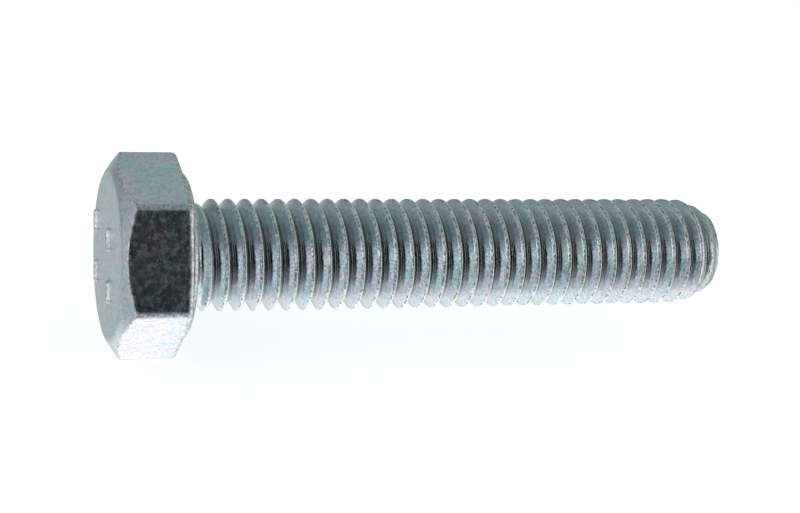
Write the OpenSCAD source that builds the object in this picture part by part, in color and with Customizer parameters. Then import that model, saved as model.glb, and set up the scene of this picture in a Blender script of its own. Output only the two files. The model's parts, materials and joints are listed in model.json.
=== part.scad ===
// Hexagon head bolt, threaded to the head, M10 x 1.5 x 50, 16 mm across flats.
//
// The bolt lies along X. The origin is on the axis, in the bearing face under
// the head: the head is in -X and the threaded shank in +X. Two of the six
// flats face up and down, so +Z is the normal of the top flat.
// The bolt is one forged and rolled piece of steel, so it is one solid.

/* [Head] */
// Width across two opposite flats
across_flats = 15.6; // [13:0.05:20]
// Depth that the corners between the flats are turned down by
corner_trim = 0.15; // [0.05:0.05:0.6]
// Height of the head, washer face included
head_h = 6.45; // [4:0.05:10]
// Width of the end chamfer at the middle of a flat
end_chamfer_w = 0.65; // [0.4:0.025:1.5]
// Slope of the end chamfer, measured from the end face
end_chamfer_angle = 33; // [15:1:40]
// Bevel of the flats and corners on the bearing side
bearing_edge_bevel = 0.3; // [0.1:0.05:0.5]

/* [Washer face] */
// Height of the raised washer face under the head
washer_face_h = 0.5; // [0.2:0.05:1]
// Width of the ledge between the washer face and the middle of a flat
washer_ledge_w = 0.55; // [0.3:0.05:1]
// Bevel round the washer face's rim
washer_rim_bevel = 0.12; // [0.05:0.01:0.2]

/* [Shank] */
// Length of the shank, from the bearing face to the tip
shank_l = 50.2; // [20:0.1:100]
// Radius of the fillet where the shank meets the bearing face
fillet_r = 0.6; // [0.3:0.05:0.7]
// Depth of the bare neck below the thread's crests
neck_depth = 0.575; // [0.4:0.025:0.7]
// Depth of the tip's flat end below the thread's crests
tip_chamfer_depth = 1.4; // [0.7:0.05:1.8]
// Slope of the tip's chamfer, measured from the axis
tip_chamfer_angle = 29; // [25:1:60]

/* [Thread] */
// Outer diameter, over the crests
thread_d = 9.8; // [8:0.05:12]
// Pitch of the single right-hand thread
pitch = 1.5; // [1:0.25:2]
// Distance from the bearing face to the start of the thread
thread_start = 1; // [0.7:0.1:3]
// Length over which the thread grows to its full depth
run_in_l = 1.1; // [1:0.1:5]

/* [Raised marks] */
// Height of the raised bars on the end face
mark_h = 0.3; // [0.05:0.05:0.4]
// Width of each bar
mark_w = 0.6; // [0.3:0.05:1]
// Length of each bar, over its round ends
mark_l = 2; // [1.2:0.1:3]
// Distance of the inner row of bars from the axis
inner_row_offset = 1.3; // [0.6:0.1:3]
// Distance of the outer row, on the other side of the axis, from the chamfer
outer_row_margin = 2.3; // [1.8:0.1:3]
// Distance of each bar's middle from the middle of its row
mark_spread = 2.2; // [1.6:0.1:2.5]
// Distance that each row is moved along its own line, the two in opposite directions
row_shift = 0.7; // [0:0.1:0.9]

/* [Hidden] */

$fn = 96;
steps_per_turn = 36;
overlap = 0.5;
end_margin = 0.05;

// The thread's form, as shares of its pitch
depth_share = 0.6;
crest_share = 0.13;
root_share = 0.2;

flat_r = across_flats / 2;
corner_r = flat_r / cos(30) - corner_trim;
end_flat_r = flat_r - end_chamfer_w;
end_chamfer_h = (corner_r - end_flat_r) * tan(end_chamfer_angle);
washer_face_r = flat_r - washer_ledge_w;
outer_row_offset = end_flat_r - outer_row_margin;

crest_r = thread_d / 2;
root_r = crest_r - depth_share * pitch;
neck_r = crest_r - neck_depth;
neck_fillet_r = min(fillet_r, washer_face_r - neck_r);
tip_flat_r = crest_r - tip_chamfer_depth;

// The four lines of the thread's profile along one pitch: the root's two
// edges, then the crest's two edges
root_w = root_share * pitch;
crest_w = crest_share * pitch;
flank_w = (pitch - root_w - crest_w) / 2;
line_offsets = [0, root_w, root_w + flank_w, root_w + flank_w + crest_w];
line_radii = [root_r, root_r, crest_r, crest_r];

rows_per_turn = len(line_offsets);

// A smooth step from 0 to 1
function ease(t) = let (u = min(max(t, 0), 1)) u * u * (3 - 2 * u);

// The largest radius inside the tip's chamfer, at x from the bearing face
function tip_limit(x) = tip_flat_r + (shank_l - x) * tan(tip_chamfer_angle);

// Where a row of the thread, which climbs one pitch a turn, crosses a step
function row_x(row, step) =
    thread_start + line_offsets[row % rows_per_turn]
    + pitch * (floor(row / rows_per_turn) + step / steps_per_turn);

// The thread's last row is the last one that ends before the tip
last_row = max([
    for (row = [0 : rows_per_turn * ceil(shank_l / pitch)])
        if (row_x(row, steps_per_turn) < shank_l - end_margin) row
]);

function row_r(row, x) =
    let (growth = ease((x - thread_start) / run_in_l))
    min(neck_r + (line_radii[row % rows_per_turn] - neck_r) * growth, tip_limit(x));

function around(r, step, x) =
    let (angle = 360 * step / steps_per_turn) [r * cos(angle), r * sin(angle), x];

function circle_points(r, x) = [for (step = [0 : steps_per_turn - 1]) around(r, step, x)];

function row_points(row) = [
    for (step = [0 : steps_per_turn - 1])
        let (x = row_x(row, step)) around(row_r(row, x), step, x)
];

// Triangles between two lists of point numbers, the lower list first
function strip(lower, upper) = [
    for (i = [0 : len(lower) - 2])
        for (face = [[lower[i], upper[i], lower[i + 1]], [upper[i], upper[i + 1], lower[i + 1]]])
            face
];

// Triangles from one point number to a list of them
function fan(apex, rim) = [for (i = [0 : len(rim) - 2]) [apex, rim[i], rim[i + 1]]];

function closed(list) = concat(list, [list[0]]);

// The shank along Z, from inside the head to the tip. The points are a circle
// inside the head, a circle before the thread, the rows of the thread, and a
// circle at the tip. A row's end meets the start of the same line one turn on.
module threaded_shank() {
    n = steps_per_turn;
    inner_circle = [for (step = [0 : n - 1]) step];
    neck_circle = [for (step = [0 : n - 1]) n + step];
    rows = [for (row = [0 : last_row]) [for (step = [0 : n - 1]) (2 + row) * n + step]];
    tip_circle = [for (step = [0 : n - 1]) (3 + last_row) * n + step];
    first_column = [for (row = [rows_per_turn : -1 : 0]) rows[row][0]];
    last_column = [for (row = [last_row - rows_per_turn : last_row]) rows[row][n - 1]];
    points = concat(
        circle_points(neck_r, -overlap),
        circle_points(neck_r, thread_start - end_margin),
        [for (row = [0 : last_row]) each row_points(row)],
        circle_points(tip_flat_r, shank_l)
    );
    neck = strip(closed(inner_circle), closed(neck_circle));
    start = concat(
        strip(neck_circle, rows[0]),
        fan(rows[0][n - 1], concat(first_column, [neck_circle[0], neck_circle[n - 1]]))
    );
    thread = [
        for (row = [0 : last_row - 1])
            let (wraps = row + 1 + rows_per_turn <= last_row)
            each strip(
                wraps ? concat(rows[row], [rows[row + rows_per_turn][0]]) : rows[row],
                wraps ? concat(rows[row + 1], [rows[row + 1 + rows_per_turn][0]]) : rows[row + 1]
            )
    ];
    finish = concat(
        strip(rows[last_row], tip_circle),
        fan(rows[last_row][0], concat(last_column, [tip_circle[n - 1], tip_circle[0]]))
    );
    caps = [inner_circle, [for (step = [n - 1 : -1 : 0]) tip_circle[step]]];
    polyhedron(points, concat(neck, start, thread, finish, caps));
}

// Two opposite flats, facing X, bevelled on the bearing side
module flat_pair() {
    one_side = [
        [flat_r, -head_h],
        [flat_r, -washer_face_h - bearing_edge_bevel],
        [flat_r - bearing_edge_bevel, -washer_face_h]
    ];
    other_side = [for (i = [len(one_side) - 1 : -1 : 0]) [-one_side[i].x, one_side[i].y]];
    rotate([90, 0, 0])
        linear_extrude(4 * flat_r, center = true)
            polygon(concat(one_side, other_side));
}

// The head along Z, with the bearing face at zero and the end face below it
module head() {
    intersection() {
        intersection_for(angle = [0, 60, 120]) rotate([0, 0, angle]) flat_pair();
        rotate_extrude() polygon([
            [0, -head_h],
            [end_flat_r, -head_h],
            [corner_r, end_chamfer_h - head_h],
            [corner_r, -washer_face_h - bearing_edge_bevel],
            [corner_r - bearing_edge_bevel, -washer_face_h],
            [0, -washer_face_h]
        ]);
    }
}

module washer_face() {
    rotate_extrude() polygon([
        [0, -washer_face_h - overlap],
        [washer_face_r, -washer_face_h - overlap],
        [washer_face_r, -washer_rim_bevel],
        [washer_face_r - washer_rim_bevel, 0],
        [0, 0]
    ]);
}

// The concave ring where the neck leaves the bearing face
module neck_fillet() {
    rotate_extrude() difference() {
        translate([0, -overlap]) square([neck_r + neck_fillet_r, overlap + neck_fillet_r]);
        translate([neck_r + neck_fillet_r, neck_fillet_r]) circle(r = neck_fillet_r);
    }
}

// One raised bar with round ends, standing on the end face, along Y
module raised_bar() {
    straight_l = mark_l - mark_w;
    depth = mark_h + overlap;
    translate([0, 0, -head_h - mark_h]) {
        translate([-mark_w / 2, -straight_l / 2, 0]) cube([mark_w, straight_l, depth]);
        for (end = [-1, 1]) translate([0, end * straight_l / 2, 0]) cylinder(h = depth, d = mark_w);
    }
}

// Two rows of bars, both parallel to one pair of flats
module raised_marks() {
    rotate([0, 0, 60])
        for (row = [[-inner_row_offset, -row_shift], [outer_row_offset, row_shift]], side = [-1, 1])
            translate([row.x, row.y + side * mark_spread, 0]) raised_bar();
}

module hex_bolt() {
    color([0.62, 0.67, 0.69]) rotate([0, 90, 0]) {
        head();
        washer_face();
        neck_fillet();
        threaded_shank();
        raised_marks();
    }
}

hex_bolt();
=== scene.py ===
import json
import math

import bpy
import numpy as np
from mathutils import Matrix, Vector, geometry, noise


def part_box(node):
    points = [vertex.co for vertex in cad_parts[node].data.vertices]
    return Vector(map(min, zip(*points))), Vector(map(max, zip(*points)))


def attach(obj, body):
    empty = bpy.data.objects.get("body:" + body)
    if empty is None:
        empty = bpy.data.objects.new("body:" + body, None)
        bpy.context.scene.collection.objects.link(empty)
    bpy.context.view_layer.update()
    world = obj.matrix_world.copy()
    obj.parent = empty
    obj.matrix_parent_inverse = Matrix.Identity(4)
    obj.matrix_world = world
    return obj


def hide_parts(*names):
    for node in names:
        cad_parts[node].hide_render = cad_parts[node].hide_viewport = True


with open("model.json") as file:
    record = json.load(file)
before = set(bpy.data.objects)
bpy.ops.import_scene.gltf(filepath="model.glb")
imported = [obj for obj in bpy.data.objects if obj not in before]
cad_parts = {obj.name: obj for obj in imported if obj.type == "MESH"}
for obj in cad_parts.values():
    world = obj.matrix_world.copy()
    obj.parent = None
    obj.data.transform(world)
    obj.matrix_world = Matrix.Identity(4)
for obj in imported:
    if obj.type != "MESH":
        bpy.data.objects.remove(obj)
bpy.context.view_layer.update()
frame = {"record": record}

# A hexagon head bolt, threaded to the head, in bright zinc plating. It lies along X
# with its bearing face at the origin. Shapes are worked out in millimetres, as points
# (x, r, angle): x along the axis, r from the axis, and the angle from the bottom flat's
# normal towards +Y. The mesh is scaled to metres at the end.
MM = 0.001
LOW, HIGH = [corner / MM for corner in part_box("hex_bolt")]
MOUNTS = {mount["name"]: mount for mount in frame["record"]["mounts"]}

# Head
FLAT_R = HIGH.z
CORNER_R = HIGH.y
MARK_H = 0.3
HEAD_END = LOW.x + MARK_H
END_FLAT_R = FLAT_R - 0.65
END_CHAMFER_SLOPE = math.tan(math.radians(33))
CORNER_BLEND = 0.12
END_EDGE_R = 1.2
SIDE_EDGE_R = 0.15
BEARING_EDGE_R = 0.32
BEARING_CORNER_R = 0.5

# Washer face, neck and tip
WASHER_FACE_H = 0.5
WASHER_FACE_R = FLAT_R - 0.55
WASHER_RIM_R = 0.4
LEDGE_FILLET_R = 0.08
NECK_FILLET_R = 0.38
SHANK_L = HIGH.x
TIP_DEPTH = 1.32
TIP_TAPER_L = 3.2
TIP_CURVE = 1.7
TIP_GROOVE = 0.28
TIP_EDGE_R = 0.12

# Thread
PITCH = 1.5
CREST_R = MOUNTS["thread"]["dims"]["r_mm"]
ROOT_R = CREST_R - 0.6 * PITCH
NECK_R = CREST_R - 0.575
TIP_FLAT_R = CREST_R - TIP_DEPTH
FLANK_SLOPE = math.tan(math.radians(60))
CREST_HALF_W = 0.09
CREST_BLEND = 0.1
ROOT_BLEND = 0.24
SEAM_DEPTH = 0.06
SEAM_HALF_W = 0.035
SEAM_OFFSET = -0.09
# The width of the painted shade along the seam
SEAM_SHADE_W = 0.05
LIP_START = -0.12
LIP_W = 0.3
LIP_FADE = 0.05
# The width of the painted shade that darkens each thread root
ROOT_SHADE_W = 0.32
THREAD_START = 0.5
RUN_IN_L = 1.6
CREST_X = 1.922
ROWS_PER_PITCH = 22

# Raised bars on the end face, in two rows along one pair of flats
MARK_W = 0.6
MARK_L = 2.0
MARK_SPREAD = 2.2
MARK_ROWS = [(-1.3, -0.7), (END_FLAT_R - 2.3, 0.7)]
MARK_ANGLE = math.radians(60)
MARK_STEPS = [(-0.05, 0.0), (0.02, 0.09), (0.07, 0.19), (0.14, 0.26), (0.22, MARK_H)]
MARK_CLEARANCE = 0.2

# The spacing of the points that fill the end face, and their distance from its chamfer
END_FACE_SPACING = 0.45
END_FACE_MARGIN = 0.8

# The seed of the metal's slight unevenness
DENT_SEED = 5

# The columns of the mesh, in degrees from the middle of a flat
FLAT_STEPS = [0, 6.5, 12.5, 17.5, 21.5, 24.5, 26.5, 27.5, 28.3, 29.2]


def column_angles():
    """The angles of the mesh's columns, closer together at the head's corners."""
    half = np.radians(FLAT_STEPS)
    sector = np.concatenate([-half[:0:-1], half, [math.radians(30)]])
    return np.concatenate([sector + math.radians(60 * i) for i in range(6)])


ANGLES = column_angles()
COLUMNS = len(ANGLES)


def smooth_min(a, b, width):
    """The lower of a and b, with a rounded change-over."""
    share = np.clip(0.5 + 0.5 * (b - a) / width, 0, 1)
    return b + (a - b) * share - width * share * (1 - share) / 2


def smooth_max(a, b, width):
    """The higher of a and b, with a rounded change-over."""
    return -smooth_min(-a, -b, width)


def ease(t):
    """A smooth step from 0 to 1."""
    t = np.clip(t, 0, 1)
    return t * t * (3 - 2 * t)


def hexagon_r(angles):
    """The head's radius: six flats, with the corners trimmed off round."""
    from_flat = (angles + math.radians(30)) % math.radians(60) - math.radians(30)
    return smooth_min(FLAT_R / np.cos(from_flat), CORNER_R, CORNER_BLEND)


def thread_profile(offset):
    """The radius across one pitch, at a distance along X from the nearest crest."""
    fall = FLANK_SLOPE * (np.abs(offset) - CREST_HALF_W)
    fall = smooth_max(fall, 0, CREST_BLEND)
    seam = SEAM_DEPTH * np.exp(-(((offset - SEAM_OFFSET) / SEAM_HALF_W) ** 2))
    return CREST_R - smooth_min(fall, CREST_R - ROOT_R, ROOT_BLEND) - seam


def row_offsets():
    """Where the mesh's rows lie along one pitch: evenly by length and by turning."""
    fine = np.linspace(-PITCH / 2, PITCH / 2, 1201)
    radius = thread_profile(fine)
    slope = np.arctan(np.gradient(radius, fine))
    length = np.hypot(np.diff(fine), np.diff(radius))
    weight = np.concatenate([[0], np.cumsum(length + 0.12 * np.abs(np.diff(slope)))])
    return np.interp(np.arange(ROWS_PER_PITCH) / ROWS_PER_PITCH * weight[-1], weight, fine)


def thread_r(x, offset):
    """The shank's radius: the thread, its run-in by the head, and the rounded tip, over
    which the thread fades to a shallow groove."""
    growth = ease((x - THREAD_START) / RUN_IN_L)
    radius = NECK_R + (thread_profile(offset) - NECK_R) * growth
    taper = np.clip((SHANK_L - x) / TIP_TAPER_L, 0, None)
    taper = 1 - np.clip(1 - taper, 0, 1) ** TIP_CURVE
    groove = TIP_GROOVE * (1 - np.cos(math.tau * offset / PITCH)) / 2
    limit = TIP_FLAT_R + TIP_DEPTH * taper - groove * ease(4 * taper)
    return smooth_min(radius, np.where(x < SHANK_L - TIP_TAPER_L, CREST_R + 1, limit), 0.08)


def painted_root_shade(x, offset):
    """How deep in the thread's root a point lies, where painted shade darkens its colour."""
    share = ease(1 - (PITCH / 2 - abs(offset)) / ROOT_SHADE_W)
    return share * ease((x - THREAD_START) / RUN_IN_L) * ease((SHANK_L - 0.3 - x) / 0.4)


def seam_share(x, offset):
    """How far a point lies in the fine seam beside the lip, where painted shade darkens its colour.
    """
    share = np.exp(-(((offset - SEAM_OFFSET) / SEAM_SHADE_W) ** 2))
    return share * ease((x - THREAD_START) / RUN_IN_L)


def lip_share(x, offset):
    """How far a point belongs to the pale lip that rolling leaves along the crest."""
    width = LIP_W * (1 + 0.6 * ease((x - THREAD_START) / SHANK_L))
    rise = ease((offset - LIP_START) / LIP_FADE)
    fall = ease((LIP_START + width - offset) / LIP_FADE)
    return rise * fall * ease((x - THREAD_START) / RUN_IN_L)


class Surface:
    """Collects the bolt's points and faces."""

    def __init__(self):
        self.points = []
        self.faces = []
        self.lip = []
        self.root = []
        self.seam = []
        self.edge = []

    def ring(self, x, r, edge=0.0):
        """A ring of points, one for each column, and their numbers."""
        x = np.broadcast_to(x, COLUMNS)
        r = np.broadcast_to(r, COLUMNS)
        first = len(self.points)
        self.points += list(zip(x, r * np.sin(ANGLES), -r * np.cos(ANGLES)))
        self.edge += list(np.broadcast_to(edge, COLUMNS))
        self.lip += [0.0] * COLUMNS
        self.root += [0.0] * COLUMNS
        self.seam += [0.0] * COLUMNS
        return np.arange(first, first + COLUMNS)

    def strip(self, lower, upper, lower_next=None, upper_next=None):
        """Faces between two rings. The last column joins the first, or the row given."""
        lower_next = lower if lower_next is None else lower_next
        upper_next = upper if upper_next is None else upper_next
        corners = zip(
            lower, np.append(lower[1:], lower_next[0]), np.append(upper[1:], upper_next[0]), upper
        )
        for a, b, c, d in corners:
            face = list(dict.fromkeys((int(a), int(b), int(c), int(d))))
            if len(face) > 2:
                self.faces.append(face)


def head_stations():
    """The head's outline at each column, from the end face to the neck: the corner's
    place, its rounding radius, the shares at which the stretch after it is cut, and its
    share of edge wear."""
    hexagon = hexagon_r(ANGLES)
    chamfer_x = HEAD_END + (hexagon - END_FLAT_R) * END_CHAMFER_SLOPE
    bulk = np.clip((hexagon - FLAT_R) / (CORNER_R - FLAT_R), 0, 1)
    bearing_edge = BEARING_EDGE_R + (BEARING_CORNER_R - BEARING_EDGE_R) * bulk
    long_cuts = [0.03, 0.2, 0.4, 0.6, 0.8, 0.97]
    short_cuts = [0.08, 0.5, 0.92]
    return [
        (HEAD_END, END_FLAT_R - 0.6, 0, [], 0),
        (HEAD_END, END_FLAT_R, END_EDGE_R, short_cuts, 0.3),
        (chamfer_x, hexagon, SIDE_EDGE_R, long_cuts, 1),
        (-WASHER_FACE_H, hexagon, bearing_edge, short_cuts, 0.8),
        (-WASHER_FACE_H, WASHER_FACE_R, LEDGE_FILLET_R, short_cuts, 0.5),
        (0, WASHER_FACE_R, WASHER_RIM_R, short_cuts, 0.8),
        (0, NECK_R, NECK_FILLET_R, short_cuts, 0),
        (THREAD_START - 0.1, NECK_R, 0, [], 0),
    ]


def rounded_stations(stations, arc_steps=4):
    """The outline's points at each column, with its corners rounded. Each is
    (x, r, share of edge)."""
    corners = [
        np.stack([np.broadcast_to(x, COLUMNS), np.broadcast_to(r, COLUMNS)], 1)
        for x, r, _, _, _ in stations
    ]
    found = [(corners[0], 0.0)]
    leaving = corners[0]
    for i in range(1, len(stations) - 1):
        before = corners[i - 1] - corners[i]
        after = corners[i + 1] - corners[i]
        before /= np.linalg.norm(before, axis=1, keepdims=True)
        after /= np.linalg.norm(after, axis=1, keepdims=True)
        half = np.arccos(np.clip((before * after).sum(1), -1, 1)) / 2
        reach = (np.broadcast_to(stations[i][2], COLUMNS) / np.tan(half))[:, None]
        start = corners[i] + before * reach
        end = corners[i] + after * reach
        found += [(leaving + (start - leaving) * cut, 0.0) for cut in stations[i - 1][3]]
        for step in range(arc_steps + 1):
            t = step / arc_steps
            curve = start * (1 - t) ** 2 + corners[i] * 2 * t * (1 - t) + end * t * t
            found.append((curve, stations[i][4]))
        leaving = end
    found.append((corners[-1], 0.0))
    return found


def add_head(surface):
    """The rings from the end face's rim to the neck. Returns the first and the last."""
    hexagon = hexagon_r(ANGLES)
    to_corner = np.abs(ANGLES % math.radians(60) - math.radians(30))
    corner = ease(1 - to_corner / math.radians(2.5))
    rings = []
    for curve, edge in rounded_stations(head_stations()):
        on_corner = np.where(np.abs(curve[:, 1] - hexagon) < 0.05, corner, 0)
        rings.append(surface.ring(curve[:, 0], curve[:, 1], np.maximum(edge, on_corner)))
    for lower, upper in zip(rings, rings[1:]):
        surface.strip(lower, upper)
    return rings[0], rings[-1]


def add_thread(surface, neck):
    """The thread's rows, which climb one pitch a turn, so a row's end meets the start
    of the row one pitch on. Points before the neck or past the tip join those rings."""
    offsets = row_offsets()
    start_x = THREAD_START - 0.1
    end_x = SHANK_L - TIP_EDGE_R
    climb = ANGLES / math.tau * PITCH
    first_turn = math.floor((start_x - CREST_X - PITCH) / PITCH)
    last_turn = math.ceil((end_x - CREST_X) / PITCH) + 1
    offset_at_end = (end_x - CREST_X - climb + PITCH / 2) % PITCH - PITCH / 2
    end_ring = surface.ring(end_x, thread_r(end_x, offset_at_end), 1.0)
    rows = []
    for turn in range(first_turn, last_turn + 1):
        for offset in offsets:
            x = CREST_X + PITCH * turn + offset + climb
            inside = (x > start_x) & (x < end_x)
            row = np.where(x <= start_x, neck, end_ring)
            if inside.any():
                radius = thread_r(x, offset)
                own = np.arange(inside.sum()) + len(surface.points)
                angles = ANGLES[inside]
                surface.points += list(
                    zip(
                        x[inside],
                        radius[inside] * np.sin(angles),
                        -radius[inside] * np.cos(angles),
                    )
                )
                surface.lip += list(lip_share(x[inside], offset))
                surface.root += list(painted_root_shade(x[inside], offset))
                surface.seam += list(seam_share(x[inside], offset))
                surface.edge += [0.0] * len(own)
                row[inside] = own
            rows.append(row)
    for i in range(len(rows) - ROWS_PER_PITCH - 1):
        surface.strip(rows[i], rows[i + 1], rows[i + ROWS_PER_PITCH], rows[i + 1 + ROWS_PER_PITCH])
    return end_ring


def add_tip(surface, ring):
    """The tip's rounded edge and its flat end."""
    points = np.array(surface.points)[ring]
    outer = np.hypot(points[:, 1], points[:, 2])
    for t in (0.35, 0.7, 1.0):
        x = SHANK_L - TIP_EDGE_R * (1 - math.sin(t * math.pi / 2))
        r = np.minimum(outer, TIP_FLAT_R + TIP_EDGE_R * (math.cos(t * math.pi / 2) - 0.6))
        rim = surface.ring(x, r, 1.0)
        surface.strip(ring, rim)
        ring = rim
    for r in (TIP_FLAT_R - 0.3, TIP_FLAT_R * 0.66, TIP_FLAT_R * 0.33, 0.3):
        rim = surface.ring(SHANK_L, r)
        surface.strip(ring, rim)
        ring = rim
    centre = len(surface.points)
    surface.points.append((SHANK_L, 0.0, 0.0))
    surface.edge.append(0.0)
    surface.lip.append(0.0)
    surface.root.append(0.0)
    surface.seam.append(0.0)
    surface.strip(ring, np.full(COLUMNS, centre))


def bar_outline(reach):
    """A bar's outline, moved inwards by reach: two straight sides and two round ends."""
    r = MARK_W / 2 - reach
    half = (MARK_L - MARK_W) / 2
    sides = np.linspace(-half, half, 7)[1:-1]
    turns = np.radians(np.linspace(0, 180, 9))
    top = [(r * math.cos(a), half + r * math.sin(a)) for a in turns]
    bottom = [(-x, -y) for x, y in top]
    left = [(-r, y) for y in sides[::-1]]
    right = [(r, y) for y in sides]
    return np.array(top + left + bottom + right)


def bar_places():
    """The middle of each raised bar, before the rows are turned to the flats."""
    return [
        np.array([row, shift + side * MARK_SPREAD]) for row, shift in MARK_ROWS for side in (-1, 1)
    ]


def add_end_face(surface, rim):
    """The flat end face inside its rim, with the raised bars standing on it."""
    turn = Matrix.Rotation(MARK_ANGLE, 2)
    flat = []
    loops = []
    for place in bar_places():
        for reach, height in MARK_STEPS:
            outline = bar_outline(reach) + place
            loops.append(range(len(flat), len(flat) + len(outline)))
            flat += [(turn @ Vector(p), height) for p in outline]
        ridge = np.linspace(-0.5, 0.5, 7) * (MARK_L - MARK_W)
        flat += [(turn @ Vector(place + np.array([0, y])), MARK_H) for y in ridge]
    spines = [(turn @ Vector(place), turn @ Vector((0, 1))) for place in bar_places()]

    def clear_of_bars(p):
        for centre, along in spines:
            reach = max(-1, min(1, (p - centre).dot(along) / ((MARK_L - MARK_W) / 2)))
            spine = centre + along * reach * (MARK_L - MARK_W) / 2
            if (p - spine).length < MARK_W / 2 + MARK_CLEARANCE:
                return False
        return True

    for r in np.arange(0.0, END_FLAT_R - END_FACE_MARGIN, END_FACE_SPACING):
        count = max(1, round(math.tau * r / END_FACE_SPACING))
        for i in range(count):
            p = Vector((r * math.cos(math.tau * i / count), r * math.sin(math.tau * i / count)))
            if clear_of_bars(p):
                flat.append((p, 0.0))
    rim_first = len(flat)
    for number in rim:
        x, y, z = surface.points[number]
        flat.append((Vector((-z, y)), 0.0))
    loops.append(range(rim_first, len(flat)))
    edges = [(loop[i], loop[(i + 1) % len(loop)]) for loop in loops for i in range(len(loop))]
    places, _, faces, origins, _, _ = geometry.delaunay_2d_cdt(
        [p for p, _ in flat], edges, [], 0, 1e-6
    )
    numbers = []
    for place, origin in zip(places, origins):
        source = origin[0]
        if source >= rim_first:
            numbers.append(int(rim[source - rim_first]))
            continue
        height = flat[source][1]
        numbers.append(len(surface.points))
        surface.points.append((HEAD_END - height, place.y, -place.x))
        # Painted highlight in part: the bars grow paler towards their tops through the edge share,
        # which stands for wear and also for highlights on the bars
        surface.edge.append(height / MARK_H)
        surface.lip.append(0.0)
        surface.root.append(0.0)
        surface.seam.append(0.0)
    for face in faces:
        surface.faces.append([numbers[i] for i in reversed(face)])


def dented(point):
    """Moves a point by the slight unevenness of forged and rolled metal, which is
    coarser over the tip."""
    place = Vector(point)
    shift = noise.noise_vector(place * 0.45) * 0.018 + noise.noise_vector(place * 1.7) * 0.007
    tip = float(ease((place.x - SHANK_L + TIP_TAPER_L) / TIP_TAPER_L))
    return place + shift + noise.noise_vector(place * 1.1) * 0.05 * tip


def bolt_piece(material):
    """The whole bolt as one mesh, with the shares that its material reads."""
    surface = Surface()
    noise.seed_set(DENT_SEED)
    rim, neck = add_head(surface)
    add_end_face(surface, rim)
    end_ring = add_thread(surface, neck)
    add_tip(surface, end_ring)
    mesh = bpy.data.meshes.new("bolt")
    mesh.from_pydata([tuple(dented(p) * MM) for p in surface.points], [], surface.faces)
    # "root" and "seam" carry the painted shade of the thread's roots and of its seams
    for name in ("edge", "lip", "root", "seam"):
        attribute = mesh.attributes.new(name, "FLOAT", "POINT")
        attribute.data.foreach_set("value", np.array(getattr(surface, name), np.float32))
    mesh.shade_smooth()
    mesh.materials.append(material)
    mesh.validate()
    piece = bpy.data.objects.new("plated_bolt", mesh)
    bpy.context.scene.collection.objects.link(piece)
    return piece


class Nodes:
    """Adds shader nodes by type, with their settings and inputs."""

    def __init__(self, tree):
        self.tree = tree
        tree.nodes.clear()

    def add(self, kind, inputs=None, **settings):
        node = self.tree.nodes.new(kind)
        for name, value in settings.items():
            setattr(node, name, value)
        for name, value in (inputs or {}).items():
            if isinstance(value, bpy.types.NodeSocket):
                self.tree.links.new(value, node.inputs[name])
            else:
                node.inputs[name].default_value = value
        return node

    def noise(self, vector, scale, detail=3.0, roughness=0.55):
        inputs = {"Vector": vector, "Scale": scale, "Detail": detail, "Roughness": roughness}
        return self.add("ShaderNodeTexNoise", inputs).outputs["Fac"]

    def remap(self, value, low, high, to_low=0.0, to_high=1.0):
        inputs = {
            "Value": value, "From Min": low, "From Max": high, "To Min": to_low, "To Max": to_high,
        }
        node = self.add("ShaderNodeMapRange", inputs, interpolation_type="SMOOTHSTEP")
        return node.outputs["Result"]

    def math(self, operation, a, b):
        node = self.add("ShaderNodeMath", {0: a, 1: b}, operation=operation)
        return node.outputs["Value"]

    def mix(self, share, a, b):
        node = self.add("ShaderNodeMix", data_type="RGBA")
        for index, value in ((0, share), (6, a), (7, b)):
            if isinstance(value, bpy.types.NodeSocket):
                self.tree.links.new(value, node.inputs[index])
            else:
                node.inputs[index].default_value = value
        return node.outputs[2]

    def dot(self, vector, direction):
        inputs = {0: vector, 1: direction}
        node = self.add("ShaderNodeVectorMath", inputs, operation="DOT_PRODUCT")
        return node.outputs["Value"]


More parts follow.
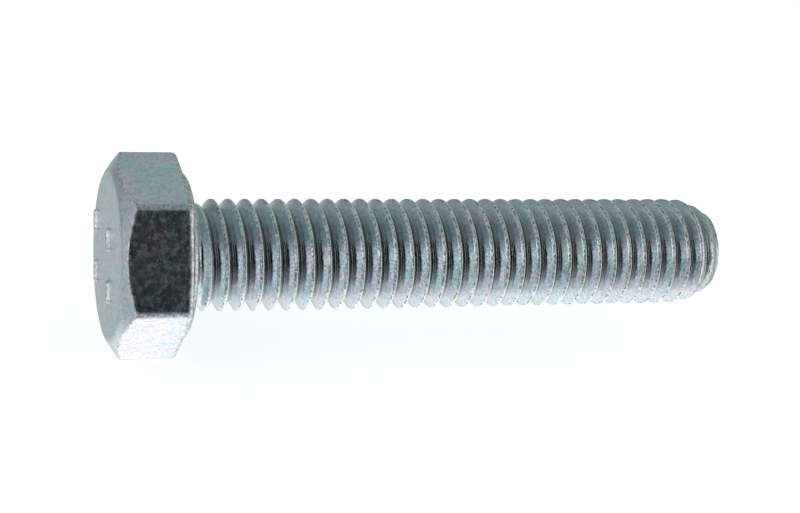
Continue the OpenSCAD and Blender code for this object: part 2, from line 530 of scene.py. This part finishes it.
def zinc_plating():
    """Bright zinc on steel: blue-grey, faintly rainbow-tinted and finely pitted, with
    rough pale lips on the thread's crests, edge wear and a scuffed tip. Painted shade
    darkens the thread's roots and the seam beside each lip, and the raised bars grow
    paler as they rise, partly wear and partly a painted highlight."""
    material = bpy.data.materials.new("zinc_plated_steel")
    material.use_nodes = True
    nodes = Nodes(material.node_tree)
    place = nodes.add("ShaderNodeTexCoord").outputs["Object"]
    x = nodes.add("ShaderNodeSeparateXYZ", {0: place}).outputs["X"]
    edge = nodes.add("ShaderNodeAttribute", attribute_name="edge").outputs["Fac"]
    lip = nodes.add("ShaderNodeAttribute", attribute_name="lip").outputs["Fac"]
    root = nodes.add("ShaderNodeAttribute", attribute_name="root").outputs["Fac"]
    seam = nodes.add("ShaderNodeAttribute", attribute_name="seam").outputs["Fac"]

    broad = nodes.remap(nodes.noise(place, 320.0), 0.4, 0.6)
    fine = nodes.remap(nodes.noise(place, 950.0), 0.4, 0.6)
    tint = nodes.mix(
        nodes.math("MULTIPLY", nodes.math("ADD", broad, fine), 0.5),
        (0.44, 0.65, 0.66, 1), (0.66, 0.60, 0.73, 1),
    )
    rolled = nodes.remap(x, 0.0, 1.0 * MM)
    colour = nodes.mix(nodes.remap(rolled, 0.0, 1.0, 1.0, 0.75), (0.56, 0.63, 0.67, 1), tint)
    warm = nodes.remap(nodes.noise(place, 560.0), 0.5, 0.7, 0.0, 0.55)
    colour = nodes.mix(warm, colour, (0.68, 0.60, 0.55, 1))
    blotch = nodes.remap(nodes.noise(place, 2400.0, 4.0), 0.4, 0.62, 0.0, 0.4)
    colour = nodes.mix(blotch, colour, (0.36, 0.40, 0.43, 1))
    fleck = nodes.remap(nodes.noise(place, 5500.0, 2.0), 0.5, 0.66, 0.0, 0.45)
    colour = nodes.mix(fleck, colour, (0.84, 0.88, 0.90, 1))
    # Painted shade: the thread's roots are darkened nearly to black, standing in for the shade deep
    # in the grooves
    colour = nodes.mix(nodes.math("MULTIPLY", root, 0.82), colour, (0.15, 0.17, 0.19, 1))
    ragged = nodes.remap(nodes.noise(place, 3000.0, 2.0), 0.35, 0.6, 0.3, 1.0)
    worn_lip = nodes.math("MULTIPLY", lip, ragged)
    # Paler edges and lips are wear; on the raised bars the same paleness is partly a painted
    # highlight
    edge_wear_and_bar_highlight = nodes.math("MULTIPLY", edge, nodes.remap(ragged, 0.3, 1.0, 0.2, 0.75))
    wear_and_bar_highlight = nodes.math("MAXIMUM", edge_wear_and_bar_highlight, worn_lip)
    colour = nodes.mix(wear_and_bar_highlight, colour, (0.84, 0.85, 0.82, 1))
    # Dark dots: along the seam beside each lip they are painted shade in the crease; along the
    # edges they are dark specks in the plating
    dots = nodes.remap(nodes.noise(place, 3400.0, 2.0), 0.45, 0.58)
    specks_and_seam_shade = nodes.math("MAXIMUM", nodes.math("MULTIPLY", edge, 0.55), seam)
    colour = nodes.mix(nodes.math("MULTIPLY", specks_and_seam_shade, dots), colour, (0.12, 0.12, 0.12, 1))
    tip = nodes.remap(x, (SHANK_L - 2.6) * MM, (SHANK_L - 0.8) * MM)
    colour = nodes.mix(nodes.math("MULTIPLY", tip, 0.6), colour, (0.48, 0.51, 0.48, 1))
    pits = nodes.remap(nodes.noise(place, 6500.0, 2.0), 0.57, 0.65)
    pit_share = nodes.remap(nodes.math("MAXIMUM", wear_and_bar_highlight, tip), 0.0, 1.0, 0.15, 0.9)
    colour = nodes.mix(nodes.math("MULTIPLY", pits, pit_share), colour, (0.08, 0.08, 0.08, 1))

    rough = nodes.remap(nodes.noise(place, 1800.0, 4.0), 0.3, 0.7, 0.0, 0.1)
    rough = nodes.math("ADD", rough, nodes.remap(rolled, 0.0, 1.0, 0.2, 0.03))
    rough = nodes.math("ADD", rough, nodes.math("MULTIPLY", wear_and_bar_highlight, 0.28))
    rough = nodes.math("ADD", rough, nodes.math("MULTIPLY", tip, 0.15))
    waves = nodes.add(
        "ShaderNodeBump",
        {
            "Strength": nodes.remap(rolled, 0.0, 1.0, 0.06, 0.4),
            "Distance": 0.00004,
            "Height": nodes.noise(place, 2200.0, 2.0),
        },
    ).outputs["Normal"]
    grain = nodes.add(
        "ShaderNodeBump",
        {
            "Strength": 0.5,
            "Distance": nodes.remap(rolled, 0.0, 1.0, 0.0000095, 0.000014),
            "Height": nodes.noise(place, 8500.0, 3.0),
            "Normal": waves,
        },
    ).outputs["Normal"]
    pitted = nodes.add(
        "ShaderNodeBump",
        {
            "Strength": nodes.remap(rolled, 0.0, 1.0, 0.28, 0.6),
            "Distance": 0.00001,
            "Height": pits,
            "Normal": grain,
        },
        invert=True,
    ).outputs["Normal"]
    shader = nodes.add(
        "ShaderNodeBsdfPrincipled",
        {"Base Color": colour, "Metallic": 1.0, "Roughness": rough, "Normal": pitted},
    )
    nodes.add("ShaderNodeOutputMaterial", {"Surface": shader.outputs["BSDF"]})
    return material


def table_top():
    """The pale table, level with the head's bottom flat. Only the camera sees it: the
    bolt mirrors the studio's light, which comes from below as well."""
    half = 0.9
    mesh = bpy.data.meshes.new("table_top")
    z = -FLAT_R * MM
    corners = [(-half, -half, z), (half, -half, z), (half, half, z), (-half, half, z)]
    mesh.from_pydata(corners, [], [(0, 1, 2, 3)])
    material = bpy.data.materials.new("table_top")
    material.use_nodes = True
    nodes = Nodes(material.node_tree)
    place = nodes.add("ShaderNodeTexCoord").outputs["Object"]
    shade = nodes.mix(nodes.noise(place, 6.0), (0.80, 0.81, 0.82, 1), (0.84, 0.84, 0.84, 1))
    pale = nodes.add(
        "ShaderNodeBsdfPrincipled",
        {"Base Color": shade, "Roughness": 0.8, "Emission Color": shade, "Emission Strength": 0.85},
    )
    clear = nodes.add("ShaderNodeBsdfTransparent")
    seen = nodes.add("ShaderNodeLightPath").outputs["Is Camera Ray"]
    mixed = nodes.add("ShaderNodeMixShader", {0: seen, 1: clear.outputs[0], 2: pale.outputs[0]})
    nodes.add("ShaderNodeOutputMaterial", {"Surface": mixed.outputs[0]})
    mesh.materials.append(material)
    table = bpy.data.objects.new("table_top", mesh)
    bpy.context.scene.collection.objects.link(table)


def studio():
    """Soft light from below and all round, dim above and behind, a lamp beside the end
    face, a bright screen in front towards the tip, and an unlit gap beside it. Places in
    it are turns from the front (-Y), positive towards +X, and rises above level."""
    world = bpy.data.worlds.new("studio")
    bpy.context.scene.world = world
    world.use_nodes = True
    nodes = Nodes(world.node_tree)
    way = nodes.add("ShaderNodeTexCoord").outputs["Generated"]
    split = nodes.add("ShaderNodeSeparateXYZ", {0: way})
    front = nodes.math("MULTIPLY", split.outputs["Y"], -1.0)
    turn = nodes.math("DEGREES", nodes.math("ARCTAN2", split.outputs["X"], front), 0.0)
    rise = nodes.math("DEGREES", nodes.math("ARCSINE", split.outputs["Z"], 0.0), 0.0)

    light = nodes.mix(nodes.remap(rise, 20, 76), (0.56, 0.61, 0.61, 1), (0.29, 0.34, 0.34, 1))
    behind = nodes.remap(front, -0.8, -0.3, 1.0, 0.0)
    rear = nodes.math("MULTIPLY", behind, nodes.remap(rise, -24, -10))
    dim = nodes.mix(nodes.remap(rise, -5, 25), (0.31, 0.38, 0.37, 1), (0.42, 0.50, 0.49, 1))
    light = nodes.mix(rear, light, dim)
    screen = nodes.math("MULTIPLY", nodes.remap(turn, 27, 36), nodes.remap(turn, 44, 88, 1.0, 0.0))
    screen = nodes.math("MULTIPLY", screen, nodes.remap(rise, 14, 54, 1.0, 0.0))
    light = nodes.mix(screen, light, (1.45, 1.55, 1.50, 1))
    gap = nodes.math("MULTIPLY", nodes.remap(turn, -38, -22), nodes.remap(turn, 27, 33, 1.0, 0.0))
    depth = nodes.mix(nodes.remap(rise, -34, 4), (0.42, 0.42, 0.46, 1), (0.08, 0.10, 0.11, 1))
    depth = nodes.mix(nodes.remap(rise, 0, 12), depth, (0.0, 0.002, 0.003, 1))
    gap = nodes.math("MULTIPLY", gap, nodes.remap(rise, 55, 70, 1.0, 0.0))
    light = nodes.mix(gap, light, depth)
    lamp = nodes.remap(nodes.dot(way, (-0.965, -0.24, 0.1)), 0.95, 0.985)
    light = nodes.mix(lamp, light, (1.9, 1.95, 2.0, 1))
    light = nodes.mix(nodes.remap(rise, -60, -34, 1.0, 0.0), light, (1.25, 1.31, 1.32, 1))
    light = nodes.mix(nodes.remap(rise, -85, -65, 1.0, 0.0), light, (1.85, 1.68, 1.72, 1))

    lit = nodes.add("ShaderNodeBackground", {"Color": light})
    backdrop = nodes.add("ShaderNodeBackground", {"Color": (0.93, 0.94, 0.95, 1)})
    seen = nodes.add("ShaderNodeLightPath").outputs["Is Camera Ray"]
    mixed = nodes.add(
        "ShaderNodeMixShader", {0: seen, 1: lit.outputs[0], 2: backdrop.outputs[0]}
    )
    nodes.add("ShaderNodeOutputWorld", {"Surface": mixed.outputs[0]})
    bpy.context.scene.view_settings.view_transform = "Standard"


def camera():
    """The photograph's view: from the head's end, above and in front."""
    azimuth, elevation, roll = math.radians(-22.653), math.radians(31.588), math.radians(11.724)
    target = Vector((19.951, 0, -0.331)) * MM
    distance = 156.682 * MM
    back = Vector((
        math.sin(azimuth) * math.cos(elevation),
        -math.cos(azimuth) * math.cos(elevation),
        math.sin(elevation),
    ))
    data = bpy.data.cameras.new("camera")
    data.lens = 78.497
    data.clip_start = 0.01
    data.clip_end = 10
    seat = bpy.data.objects.new("camera", data)
    turn = (-back).to_track_quat("-Z", "Y").to_matrix() @ Matrix.Rotation(roll, 3, "Z")
    seat.matrix_world = Matrix.Translation(target + back * distance) @ turn.to_4x4()
    bpy.context.scene.collection.objects.link(seat)
    bpy.context.scene.camera = seat


camera()
studio()
table_top()
bolt = bolt_piece(zinc_plating())
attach(bolt, "root")
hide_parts("hex_bolt")
